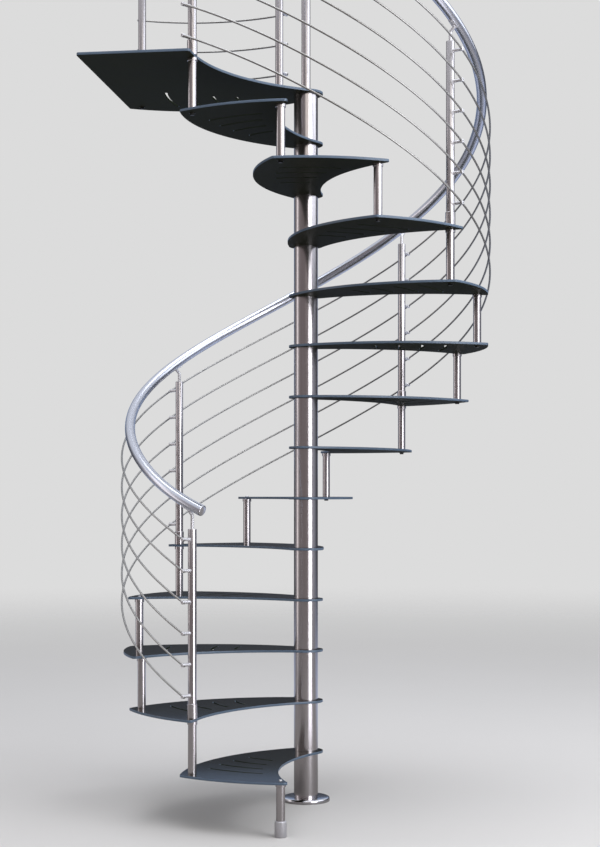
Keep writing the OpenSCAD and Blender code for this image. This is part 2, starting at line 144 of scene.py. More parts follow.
class StairSizes(bpy.types.PropertyGroup):
    """Sizes of the stair's finished parts."""

    riser: length("Riser", "Height from one tread to the next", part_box("tread_01")[1].z)
    landing_height: length("Landing height", "Top of the landing above the floor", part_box("landing")[1].z)
    plate: length("Plate", "Thickness of the tread plate", extent("tread_01", 2))
    plate_edge: length("Plate edge", "Rounding of the plate's edges", 0.0012)
    column_d: length("Column", "Diameter of the column", extent("column_tubes", 0))
    flange_d: length("Flange", "Diameter of the floor flange", extent("base_flange", 0))
    flange_h: length("Flange height", "Thickness of the floor flange", extent("base_flange", 2))
    flange_round: length("Flange rim", "Rounding of the flange's rim", 0.009)
    newel_d: length("Newel", "Diameter of the newel", extent("newel_post", 0))
    post_r: length("Post circle", "Radius on which the posts stand", 0.722)
    post_d: length("Post", "Diameter of posts and balusters", 0.0337)
    collar_d: length("Collar", "Diameter of the collar under a tread", extent("foot_post", 0))
    collar_h: length("Collar height", "Height of the collar under a tread", 0.013)
    ferrule_d: length("Ferrule", "Diameter of the foot ferrule", extent("foot_ferrule", 0))
    ferrule_h: length("Ferrule height", "Height of the foot ferrule", extent("foot_ferrule", 2))
    sleeve_d: length("Sleeve", "Diameter of the sleeve round a baluster's foot", 0.040)
    sleeve_h: length("Sleeve height", "Height of that sleeve", extent("landing_sleeves", 2))
    baluster_h: length("Baluster", "Height of a baluster above its tread", 0.735)
    landing_post_h: length("Landing post", "Height of a landing post", extent("landing_posts", 2))
    rail_d: length("Handrail", "Diameter of the handrail", extent("landing_handrail", 2))
    rail_r: length("Handrail circle", "Radius of the handrail's helix", 0.7413)
    rail_h: length("Handrail height", "Handrail's centre above a baluster's tread", 0.817)
    rail_ease_h: length("Handrail ease", "Height by which the handrail's lower end is eased up", 0.025)
    rail_ease_turn: turn_property("Handrail ease turn", "Turn over which that end is eased", 25)
    landing_rail_h: length("Landing rail height", "Level handrail's centre above the landing", 0.905)
    cap_t: length("End cap", "Thickness of a handrail's end cap", 0.005)
    pin_d: length("Pin", "Diameter of the pin that carries the handrail", 0.0135)
    saddle_l: length("Saddle", "Length of the saddle under the handrail", 0.046)
    saddle_t: length("Saddle thickness", "Thickness of that saddle", 0.004)
    saddle_gap: length("Saddle gap", "Gap between the saddle and the handrail", 0.0001)
    pin_drop: length("Pin drop", "How far below the middle of a saddle without a gap the pin ends", 0.0005)
    rod_d: length("Rod", "Diameter of a balustrade rod", 0.008)
    rod_r: length("Rod circle", "Radius of the rods' helix", 0.77526)
    rod_first_h: length("First rod", "Lowest rod above a baluster's tread", 0.090)
    rod_pitch: length("Rod pitch", "Height from one rod to the next", 0.121)
    level_rod_first_h: length("First level rod", "Lowest level rod above the landing", 0.125)
    level_rod_pitch: length("Level rod pitch", "Height from one level rod to the next", 0.130)
    rod_ease_h: length("Rod ease", "Height by which the rods' upper ends are eased down", 0.025)
    rod_ease_turn: turn_property("Rod ease turn", "Turn over which those ends are eased", 32)
    rod_end: length("Rod end", "Length of a rod past the middle of its clamp", 0.009)
    arm_d: length("Clamp arm", "Diameter of a clamp's arm", 0.013)
    head_d: length("Clamp head", "Diameter of a clamp's head", 0.015)
    head_l: length("Clamp head length", "Length of a clamp's head", 0.014)
    level_post_r: length("Level post circle", "Radius of the landing posts' arc", 0.704)
    level_rod_r: length("Level rod circle", "Radius of the level rods' arc", 0.758)
    level_x: length("Level centre X", "Centre of the landing's arc along X", -0.43463)
    level_y: length("Level centre Y", "Centre of the landing's arc along Y", -0.52167)


class StairColours(bpy.types.PropertyGroup):
    """Colours of the stair's finishes and of the stage."""

    steel_light: colour("Steel, light line", "Brightest line of the brushed tubes", "#d6d3d5")
    steel_dark: colour("Steel, dark line", "Darkest line of the brushed tubes", "#c6c2c4")
    rail_light: colour("Handrail, light", "Lighter grinding lines of the handrails", "#e6eaf4")
    rail_dark: colour("Handrail, dark", "Darker grinding lines of the handrails", "#d6dae6")
    rod_light: colour("Rod, light", "Lighter drawing lines of the rods", "#bab9b6")
    rod_dark: colour("Rod, dark", "Darker drawing lines of the rods", "#a09f9c")
    polish: colour("Polished steel", "Polished fittings, and the darker grain of satin ones", "#dedee1")
    satin: colour("Satin steel", "Lighter grain of satin clamps and brackets", "#f4f4f6")
    cast: colour("Cast foot", "Rough foot ferrule", "#f0f0f4")
    cast_pit: colour("Cast foot, pits", "Pits of the rough foot ferrule", "#c4c4ca")
    bolt: colour("Bolt", "Blackened bolts under the treads", "#3c3c3a")
    # Paint inside the slots: painted shade, a copy of the plate paint in the tone of the shaded slot walls
    paint_slot_shade: colour("Paint, slots", "Thin rough paint inside the slots", "#363c31")
    paint_top: colour("Paint, top", "Upper face of the plates", "#1c1e14")
    # Lighter bluish copy of the plate paint for the edges: a painted highlight
    paint_edge_highlight: colour("Paint, edge", "Cut edges of the plates", "#66788c")
    # Greenish copy of the plate paint for the undersides, set to the tone they show in shade: painted shade
    paint_under_shade: colour("Paint, underside", "Lower face of the plates", "#303326")
    floor: colour("Floor", "Plain floor of the stage", "#d8d6d2")
    # Lighter bluish floor tone behind the stair that the metal and the bounced light see: painted light
    floor_far_painted_light: colour("Floor behind", "Tone of the floor behind the stair in the metal", "#c4cce0")
    # Darker copy of the floor that the metal and the bounced light see: painted shade
    floor_mirrored_shade: colour("Floor, mirrored", "Tone of the floor in the metal", "#8c8884")
    backdrop: colour("Backdrop", "Pale background that the camera sees", "#dcdcdc")
    room_front: colour("Room, front", "Room on the side the stair is seen from", "#7d7474")
    room_left: colour("Room, left", "Lit wall to the left", "#bcb6b8")
    room_right: colour("Room, right", "Wall to the right", "#a0a2ac")
    room_back: colour("Room, back", "Room behind the stair", "#46484e")
    ceiling: colour("Ceiling", "Room above the stair", "#d2d4da")


def mm(size):
    """A length in millimetres, as turned profiles are given."""
    return size / MM


def clear_selection():
    """Leaves edit mode and deselects everything."""
    if bpy.context.object and bpy.context.object.mode != "OBJECT":
        bpy.ops.object.mode_set(mode="OBJECT")
    bpy.ops.object.select_all(action="DESELECT")


def pick(piece):
    """Makes a piece the only selected object."""
    clear_selection()
    piece.select_set(True)
    bpy.context.view_layer.objects.active = piece


def edit_all():
    """Enters edit mode with the active object's whole mesh selected."""
    bpy.ops.object.mode_set(mode="EDIT")
    bpy.ops.mesh.select_all(action="SELECT")


def leave_edit():
    """Goes back to object mode."""
    bpy.ops.object.mode_set(mode="OBJECT")


def apply_modifiers(piece):
    """Applies a piece's modifiers in their order."""
    pick(piece)
    for modifier in list(piece.modifiers):
        bpy.ops.object.modifier_apply(modifier=modifier.name)


def close_up(piece):
    """Merges doubles, points the faces outwards and smooths all but the sharp edges."""
    pick(piece)
    edit_all()
    bpy.ops.mesh.remove_doubles(threshold=MERGE_GAP)
    bpy.ops.mesh.normals_make_consistent(inside=False)
    leave_edit()
    bpy.ops.object.shade_smooth_by_angle(angle=SMOOTH_ANGLE)


def turned(profile, sides):
    """Turns a closed solid about Z from rings of height and radius in millimetres."""
    clear_selection()
    height, radius = profile[0]
    bpy.ops.mesh.primitive_circle_add(vertices=sides, radius=radius * MM, fill_type="NGON")
    piece = bpy.context.object
    edit_all()
    bpy.ops.transform.translate(value=(0, 0, height * MM))
    for next_height, next_radius in profile[1:]:
        rise = (0, 0, (next_height - height) * MM)
        bpy.ops.mesh.extrude_region_move(TRANSFORM_OT_translate={"value": rise})
        factor = next_radius / radius
        bpy.ops.transform.resize(value=(factor, factor, 1), center_override=(0, 0, next_height * MM))
        height, radius = next_height, next_radius
    leave_edit()
    close_up(piece)
    return piece


def upright(diameter, height, sides):
    """Turns a post with a rounded upper end."""
    half = mm(diameter) / 2
    tall = mm(height)
    return turned([(0, half), (tall - TIP_ROUND, half), (tall - TUBE_EDGE, half - TUBE_EDGE),
                   (tall, half - TIP_ROUND)], sides)


def round_edges(piece, width, sharp):
    """Rounds the edges that bend more sharply than an angle."""
    bevel = piece.modifiers.new("Round edges", "BEVEL")
    bevel.width = width
    bevel.segments = 2
    bevel.limit_method = "ANGLE"
    bevel.angle_limit = sharp
    apply_modifiers(piece)


def cut_away(piece, cutter):
    """Cuts one solid out of another."""
    modifier = piece.modifiers.new("Cut", "BOOLEAN")
    modifier.operation = "DIFFERENCE"
    modifier.solver = "EXACT"
    modifier.object = cutter
    apply_modifiers(piece)
    bpy.data.objects.remove(cutter)
    close_up(piece)


def joined(parts):
    """Joins several objects into the first."""
    clear_selection()
    for part in parts:
        part.select_set(True)
    bpy.context.view_layer.objects.active = parts[0]
    if len(parts) > 1:
        bpy.ops.object.join()
    return parts[0]


def moved(piece, place):
    """Moves a piece's mesh, so that its object stays at the origin."""
    piece.data.transform(place)
    piece.data.update()
    return piece


def set_out(pattern, places):
    """Copies a finished pattern to each place and joins the copies into one piece."""
    copies = []
    for place in places:
        copy = pattern.copy()
        copy.data = pattern.data.copy()
        bpy.context.collection.objects.link(copy)
        copies.append(moved(copy, place))
    bpy.data.objects.remove(pattern)
    return joined(copies)


def keep(piece, name, finishes, nodes):
    """Names a finished piece, gives it its finishes and sets it on the frame."""
    piece.name = name
    piece.data.name = name
    piece.data.materials.clear()
    for finish in finishes:
        piece.data.materials.append(bpy.data.materials[finish])
    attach(piece, "root")
    if nodes:
        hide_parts(*nodes)


def at_post(number, radius, height):
    """Place at a post, with X outward."""
    turn = Matrix.Rotation(-math.pi / 2 - number * POST_TURN, 4, "Z")
    return turn @ Matrix.Translation((radius, 0, height))


def at_landing(sizes, degrees, radius, height):
    """Place along the landing's rear arc, with X outward and height above the landing."""
    centre = Matrix.Translation((sizes.level_x, sizes.level_y, sizes.landing_height))
    turn = Matrix.Rotation(math.radians(90 - degrees), 4, "Z")
    return centre @ turn @ Matrix.Translation((radius, 0, height))


def landing_corners(sizes, height):
    """Places at the landing posts, at a height above the landing."""
    return [at_landing(sizes, turn, sizes.level_post_r, height) for turn in LANDING_POSTS]


def newel_side(sizes):
    """Turn along the landing's rear arc at which the newel stands."""
    return math.atan2(-sizes.level_x, -sizes.level_y)


def swept_bar(diameter, sides, radius, start, turn, low, rise, steps):
    """Sweeps a round bar about Z along an arc or helix that runs clockwise, with flat ends."""
    clear_selection()
    slope = math.atan2(rise, radius * turn)
    facing = -math.pi / 2 - start
    centre = (radius * math.cos(facing), radius * math.sin(facing), low)
    bpy.ops.mesh.primitive_circle_add(
        vertices=sides, radius=diameter / 2, location=centre, rotation=(math.pi / 2 - slope, 0, facing))
    piece = bpy.context.object
    bpy.ops.object.transform_apply(location=True, rotation=True, scale=True)
    sweep = piece.modifiers.new("Sweep", "SCREW")
    sweep.angle = -turn
    sweep.screw_offset = rise
    sweep.steps = steps
    sweep.render_steps = steps
    apply_modifiers(piece)
    bpy.ops.object.mode_set(mode="EDIT")
    bpy.ops.mesh.select_all(action="DESELECT")
    bpy.ops.mesh.select_non_manifold()
    bpy.ops.mesh.fill_holes(sides=0)
    leave_edit()
    close_up(piece)
    return piece


def rail_height(sizes, turn):
    """Height of the handrail's centre at a turn from the stair's foot, with its eased lower end."""
    left = POST_TURN - RAIL_PAST + sizes.rail_ease_turn - turn
    share = max(0.0, left / sizes.rail_ease_turn)
    return sizes.riser + sizes.rail_h + sizes.riser * turn / POST_TURN + sizes.rail_ease_h * share ** 2


def rod_height(sizes, turn):
    """Height of the lowest rod's centre at a turn from the stair's foot, with its eased upper end."""
    past = turn - LAST_TURN + sizes.rod_ease_turn
    share = max(0.0, past / sizes.rod_ease_turn)
    return sizes.riser + sizes.rod_first_h + sizes.riser * turn / POST_TURN - sizes.rod_ease_h * share ** 2


def slope_at(height_at, sizes, turn, radius):
    """Slope of a rail or rod at a turn."""
    step = math.radians(1)
    return math.atan2(height_at(sizes, turn + step) - height_at(sizes, turn - step), 2 * step * radius)


def eased(piece, height_at, sizes, start, low):
    """Lifts or lowers a swept helix to its eased heights, by weights that a displacement reads."""
    climb = sizes.riser / POST_TURN
    offset = low - climb * start
    group = piece.vertex_groups.new(name="ease")
    strength = sizes.rail_ease_h + sizes.rod_ease_h
    plain = height_at(sizes, MIDDLE_TURN) - climb * MIDDLE_TURN
    least = 0.000001
    sign = 1
    for vertex in piece.data.vertices:
        turn = (-math.pi / 2 - math.atan2(vertex.co.y, vertex.co.x)) % math.tau
        turn += math.tau * round(((vertex.co.z - offset) / climb - turn) / math.tau)
        lift = height_at(sizes, turn) - climb * turn - plain
        if abs(lift) > least:
            group.add([vertex.index], min(1.0, abs(lift) / strength), "REPLACE")
            sign = math.copysign(1, lift)
    ease = piece.modifiers.new("Ease", "DISPLACE")
    ease.direction = "Z"
    ease.mid_level = 0
    ease.strength = sign * strength
    ease.vertex_group = group.name
    apply_modifiers(piece)
    piece.vertex_groups.clear()
    return piece


def softened(node, width):
    """Copies a frame node's plate, merges it and rounds its edges."""
    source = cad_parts[node]
    piece = source.copy()
    piece.data = source.data.copy()
    piece.parent = None
    piece.matrix_world = Matrix.Identity(4)
    bpy.context.collection.objects.link(piece)
    pick(piece)
    bpy.ops.mesh.customdata_custom_splitnormals_clear()
    edit_all()
    bpy.ops.mesh.remove_doubles(threshold=FRAME_MERGE_GAP)
    bpy.ops.mesh.dissolve_limited(angle_limit=FRAME_FLAT_ANGLE)
    leave_edit()
    round_edges(piece, width, PLATE_SHARP_ANGLE)
    close_up(piece)
    return piece


def add_node(tree, kind, settings, links=None):
    """Adds a shader node, with its settings by name and its links by input."""
    made = tree.nodes.new("ShaderNode" + kind)
    for name, value in settings.items():
        if isinstance(name, str) and hasattr(made, name):
            setattr(made, name, value)
        else:
            made.inputs[name].default_value = value
    for name, source in (links or {}).items():
        tree.links.new(source, made.inputs[name])
    return made


def across(size):
    """Pattern scale at which one mark is so many millimetres across."""
    return 1 / (size * MM)


def shaded(base, factor):
    """A colour made darker or lighter by a factor."""
    return [factor * part for part in base[:3]] + [1.0]


def new_finish(name, metallic):
    """Starts a material and returns its node tree, its shader and its object coordinates."""
    finish = bpy.data.materials.new(name)
    finish.use_nodes = True
    tree = finish.node_tree
    shader = tree.nodes["Principled BSDF"]
    shader.inputs["Metallic"].default_value = metallic
    return tree, shader, add_node(tree, "TexCoord", {}).outputs["Object"]


def varied(tree, shader, grain, tones, gloss):
    """Lets a grain run a finish from its darker to its lighter tone and between two roughnesses."""
    tone = add_node(tree, "Mix", {"data_type": "RGBA", 6: tones[0], 7: tones[1]}, {0: grain})
    rough = add_node(tree, "MapRange", {3: gloss[0], 4: gloss[1]}, {0: grain})
    tree.links.new(tone.outputs[2], shader.inputs["Base Color"])
    tree.links.new(rough.outputs[0], shader.inputs["Roughness"])


def raised(tree, shader, grain, strength, distance):
    """Gives a finish the relief of a grain."""
    relief = add_node(tree, "Bump", {"Strength": strength, "Distance": distance}, {"Height": grain})
    tree.links.new(relief.outputs[0], shader.inputs["Normal"])


def steel_lines(tree, shader, vector, tones, gloss):
    """Draws grinding lines from a stretched noise in colour, roughness and relief."""
    lines = add_node(tree, "TexNoise", {"Scale": 1.0, "Detail": 2.0, "Roughness": 0.5},
                     {"Vector": vector})
    varied(tree, shader, lines.outputs[0], tones, gloss)
    raised(tree, shader, lines.outputs[0], 0.015, 0.0002)


def brushed_tube(name, tones, gloss):
    """Brushed stainless tube, ground along its length: soft streaks up and down each tube."""
    tree, shader, place = new_finish(name, 1.0)
    # Lines 5 mm wide and 500 mm long, coarser than the real grit so that they show
    stretch = add_node(tree, "Mapping", {"Scale": (across(5), across(5), across(500))},
                       {"Vector": place})
    steel_lines(tree, shader, stretch.outputs[0], tones, gloss)


def brushed_bar(name, centre, climb, tones, gloss):
    """Brushed stainless bar, ground along its length: the streaks follow the bar's arc or helix."""
    tree, shader, place = new_finish(name, 1.0)
    around = add_node(tree, "VectorMath", {"operation": "SUBTRACT", 1: (centre[0], centre[1], 0)},
                      {0: place})
    axes = add_node(tree, "SeparateXYZ", {}, {0: around.outputs[0]})
    angle = add_node(tree, "Math", {"operation": "ARCTAN2"},
                     {0: axes.outputs[1], 1: axes.outputs[0]})
    flat = add_node(tree, "VectorMath", {"operation": "MULTIPLY", 1: (1, 1, 0)},
                    {0: around.outputs[0]})
    reach = add_node(tree, "VectorMath", {"operation": "LENGTH"}, {0: flat.outputs[0]})
    level = add_node(tree, "Math", {"operation": "MULTIPLY_ADD", 1: climb},
                     {0: angle.outputs[0], 2: axes.outputs[2]})
    unrolled = add_node(tree, "CombineXYZ", {},
                        {0: reach.outputs["Value"], 1: angle.outputs[0], 2: level.outputs[0]})
    # Lines 5 mm wide and, at 1.5 to a radian, about 500 mm long
    stretch = add_node(tree, "Mapping", {"Scale": (across(5), 1.5, across(5))},
                       {"Vector": unrolled.outputs[0]})
    steel_lines(tree, shader, stretch.outputs[0], tones, gloss)


def polished_fitting(name, base, gloss):
    """Polished stainless fitting: bright, with faint wheel marks a few millimetres across."""
    tree, shader, place = new_finish(name, 1.0)
    shader.inputs["Base Color"].default_value = base
    marks = add_node(tree, "TexNoise", {"Scale": across(4.545), "Detail": 4.0}, {"Vector": place})
    rough = add_node(tree, "MapRange", {3: gloss[0], 4: gloss[1]}, {0: marks.outputs[0]})
    tree.links.new(rough.outputs[0], shader.inputs["Roughness"])


def satin_fitting(name, tones, gloss):
    """Satin stainless fitting: evenly bright all round, with a faint tumbled grain 3 mm across."""
    tree, shader, place = new_finish(name, 1.0)
    grain = add_node(tree, "TexNoise", {"Scale": across(3.03), "Detail": 3.0}, {"Vector": place})
    varied(tree, shader, grain.outputs[0], tones, gloss)


def cast_foot(name, tones, gloss):
    """Cast zinc-plated foot: dull silver with soft grains about 4 mm across."""
    tree, shader, place = new_finish(name, 0.5)
    grain = add_node(tree, "TexNoise", {"Scale": across(4), "Detail": 5.0, "Roughness": 0.65},
                     {"Vector": place})
    varied(tree, shader, grain.outputs[0], tones, gloss)
    raised(tree, shader, grain.outputs[0], 0.35, 0.0008)


def blackened_bolt(name, base, gloss):
    """Blackened steel bolt: dark, with a soft sheen and worn spots about 6 mm across."""
    tree, shader, place = new_finish(name, 1.0)
    wear = add_node(tree, "TexNoise", {"Scale": across(6.25), "Detail": 4.0}, {"Vector": place})
    varied(tree, shader, wear.outputs[0], (base, shaded(base, 1.5)), gloss)


def powder_coat(name, base, gloss, specular, peel_depth=0.12):
    """Satin powder coat on plate: fine orange peel and faint cloudy changes of tone."""
    tree, shader, place = new_finish(name, 0.0)
    shader.inputs["Specular IOR Level"].default_value = specular
    # Clouds 125 mm across from handling, and orange peel 2 mm across
    clouds = add_node(tree, "TexNoise", {"Scale": across(125), "Detail": 4.0}, {"Vector": place})
    peel = add_node(tree, "TexNoise", {"Scale": across(2), "Detail": 2.0}, {"Vector": place})
    varied(tree, shader, clouds.outputs[0], (shaded(base, 0.78), shaded(base, 1.22)), gloss)
    raised(tree, shader, peel.outputs[0], peel_depth, 0.0003)


class STAIR_OT_finishes(bpy.types.Operator):
    """Mix the finishes of the steel, the fittings and the paint"""

    bl_idname = "stair.finishes"
    bl_label = "Finishes"

    def execute(self, context):
        sizes = context.scene.stair_sizes
        colours = context.scene.stair_colours
        brushed_tube("brushed_stainless_tube", (colours.steel_dark, colours.steel_light), (0.17, 0.24))
        climb = sizes.riser / POST_TURN
        level = (sizes.level_x, sizes.level_y)
        rail = ((colours.rail_dark, colours.rail_light), (0.20, 0.28))
        rod = ((colours.rod_dark, colours.rod_light), (0.34, 0.42))
        brushed_bar("brushed_stainless_helix", (0, 0), climb, *rail)
        brushed_bar("brushed_stainless_arc", level, 0, *rail)
        brushed_bar("drawn_stainless_helix", (0, 0), climb, *rod)
        brushed_bar("drawn_stainless_arc", level, 0, *rod)
        polished_fitting("polished_stainless", colours.polish, (0.06, 0.18))
        satin_fitting("satin_stainless", (colours.polish, colours.satin), (0.48, 0.58))
        cast_foot("cast_zinc_foot", (colours.cast_pit, colours.cast), (0.30, 0.50))
        blackened_bolt("blackened_bolt", colours.bolt, (0.28, 0.45))
        powder_coat("powder_coat_top", colours.paint_top, (0.05, 0.08), specular=0.45, peel_depth=0.04)
        # Edges: a lighter bluish copy of the plate paint, a painted highlight
        powder_coat("powder_coat_edge_highlight", colours.paint_edge_highlight, (0.28, 0.40), specular=0.4)
        # Undersides: a copy of the plate paint in a painted shade tone
        powder_coat("powder_coat_underside_shade", colours.paint_under_shade, (0.45, 0.55), specular=0.02)
        # Slot walls: a copy of the plate paint in painted shade
        powder_coat("powder_coat_slot_shade", colours.paint_slot_shade, (0.6, 0.7), specular=0.0)
        return {"FINISHED"}


class STAIR_OT_column(bpy.types.Operator):
    """Turn the flange, the column's tubes and the newel"""

    bl_idname = "stair.column"
    bl_label = "Column"

    def tube(self, sizes, height):
        """Tube of the column between two plates."""
        half = mm(sizes.column_d) / 2
        tall = mm(height)
        return turned([(0, half - TUBE_EDGE), (TUBE_EDGE, half), (tall - TUBE_EDGE, half),
                       (tall, half - TUBE_EDGE)], COLUMN_SIDES)

    def flange(self, sizes):
        """Floor flange with a round rim."""
        rim = mm(sizes.flange_round)
        reach = mm(sizes.flange_d) / 2
        top = mm(sizes.flange_h)
        seam = 1.5
        bends = [math.radians(15 * step) for step in range(7)]
        profile = [(0, reach - COLLAR_EDGE), (COLLAR_EDGE, reach)]
        profile += [(top - rim + rim * math.sin(bend), reach - rim + rim * math.cos(bend)) for bend in bends]
        profile += [(top, mm(sizes.column_d) / 2 + seam)]
        return turned(profile, FLANGE_SIDES)

    def execute(self, context):
        sizes = context.scene.stair_sizes
        rise = sizes.riser - sizes.plate
        short = moved(self.tube(sizes, rise - sizes.flange_h), Matrix.Translation((0, 0, sizes.flange_h)))
        levels = [Matrix.Translation((0, 0, number * sizes.riser)) for number in LEVELS]
        tubes = joined([short, set_out(self.tube(sizes, rise), levels)])
        keep(tubes, "column_tube_set", ["brushed_stainless_tube"], ["column_tubes"])
        keep(self.flange(sizes), "floor_flange", ["polished_stainless"], ["base_flange"])
        newel = upright(sizes.newel_d, sizes.landing_post_h, FITTING_SIDES)
        moved(newel, Matrix.Translation((0, 0, sizes.landing_height)))
        keep(newel, "newel_tube", ["brushed_stainless_tube"], ["newel_post"])
        return {"FINISHED"}


class STAIR_OT_plates(bpy.types.Operator):
    """Round the edges of the treads and the landing and paint their faces, with a painted highlight on the
    edges and painted shade underneath and in the slots
    """

    bl_idname = "stair.plates"
    bl_label = "Treads and landing"

    def paint(self, plate, face, middle):
        """Paint of a face: top, outer edge with its painted highlight, underside with its painted shade, or
        the painted shade inside the slots.
        """
        level = 0.9
        if face.normal.z > level:
            return 0
        if face.normal.z < -level:
            return 2
        # Side faces whose ray meets the plate again within a slot's width are slot walls, in painted shade;
        # the others are edges, with the painted highlight
        clear = 0.001
        widest_slot = 0.02
        across_slot = Vector((face.normal.x, face.normal.y, 0)).normalized()
        start = Vector((face.center.x, face.center.y, middle)) + clear * across_slot
        return 3 if plate.ray_cast(start, across_slot, distance=widest_slot)[0] else 1

    def execute(self, context):
        sizes = context.scene.stair_sizes
        paints = ["powder_coat_top", "powder_coat_edge_highlight", "powder_coat_underside_shade", "powder_coat_slot_shade"]
        quite_level = 0.99
        for node in TREADS + ["landing"]:
            plate = softened(node, sizes.plate_edge)
            keep(plate, node + "_plate", paints, [node])
            context.view_layer.update()
            low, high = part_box(node)
            middle = (low.z + high.z) / 2
            for face in plate.data.polygons:
                face.material_index = self.paint(plate, face, middle)
                face.use_smooth = abs(face.normal.z) < quite_level
        return {"FINISHED"}


class STAIR_OT_posts(bpy.types.Operator):
    """Turn the spacer posts, balusters, sleeves and the foot"""

    bl_idname = "stair.posts"
    bl_label = "Posts"

    def spacer(self, sizes, height):
        """Spacer post with its collar."""
        half = mm(sizes.post_d) / 2
        wide = mm(sizes.collar_d) / 2
        tall = mm(height)
        shoulder = tall - mm(sizes.collar_h)
        return turned([(0, half - FOOT_EDGE), (FOOT_EDGE, half), (shoulder, half),
                       (shoulder, wide - COLLAR_EDGE), (shoulder + COLLAR_EDGE, wide),
                       (tall - COLLAR_EDGE, wide), (tall, wide - COLLAR_EDGE)], POST_SIDES)

    def sleeve(self, sizes):
        """Sleeve round a post's foot."""
        half = mm(sizes.sleeve_d) / 2
        tall = mm(sizes.sleeve_h)
        seam = 0.1
        return turned([(0, half - TUBE_EDGE), (TUBE_EDGE, half), (tall - SLEEVE_EDGE, half),
                       (tall, half - SLEEVE_EDGE), (tall, mm(sizes.post_d) / 2 + seam)], POST_SIDES)

    def ferrule(self, sizes):
        """Foot ferrule with a rounded lower rim."""
        wide = mm(sizes.ferrule_d) / 2
        tall = mm(sizes.ferrule_h)
        rim = 1.5
        return turned([(0, wide - 3), (1, wide - 1.4), (4, wide), (tall - rim, wide), (tall, wide - rim),
                       (tall, mm(sizes.post_d) / 2)], FITTING_SIDES)

    def execute(self, context):
        sizes = context.scene.stair_sizes
        rise = sizes.riser - sizes.plate
        tube = ["brushed_stainless_tube"]
        places = [at_post(number, sizes.post_r, number * sizes.riser) for number in LEVELS]
        spacers = set_out(self.spacer(sizes, rise), places)
        keep(spacers, "spacer_tubes", tube, ["spacer_posts"])

        foot = moved(self.spacer(sizes, rise - sizes.ferrule_h), at_post(0, sizes.post_r, sizes.ferrule_h))
        keep(foot, "foot_tube", tube, ["foot_post"])
        ferrule = moved(self.ferrule(sizes), at_post(0, sizes.post_r, 0))
        keep(ferrule, "foot_ferrule_cast", ["cast_zinc_foot"], ["foot_ferrule"])

        stands = [at_post(number, sizes.post_r, (number + 1) * sizes.riser) for number in BALUSTER_POSTS]
        balusters = set_out(upright(sizes.post_d, sizes.baluster_h, POST_SIDES), stands)
        keep(balusters, "baluster_tubes", tube, ["balusters"])
        sleeves = set_out(self.sleeve(sizes), stands)
        keep(sleeves, "baluster_sleeve_set", tube, ["baluster_sleeves"])

        corners = landing_corners(sizes, 0)
        posts = set_out(upright(sizes.post_d, sizes.landing_post_h, POST_SIDES), corners)
        keep(posts, "landing_post_tubes", tube, ["landing_posts"])
        sleeves = set_out(self.sleeve(sizes), corners)
        keep(sleeves, "landing_sleeve_set", tube, ["landing_sleeves"])
        return {"FINISHED"}


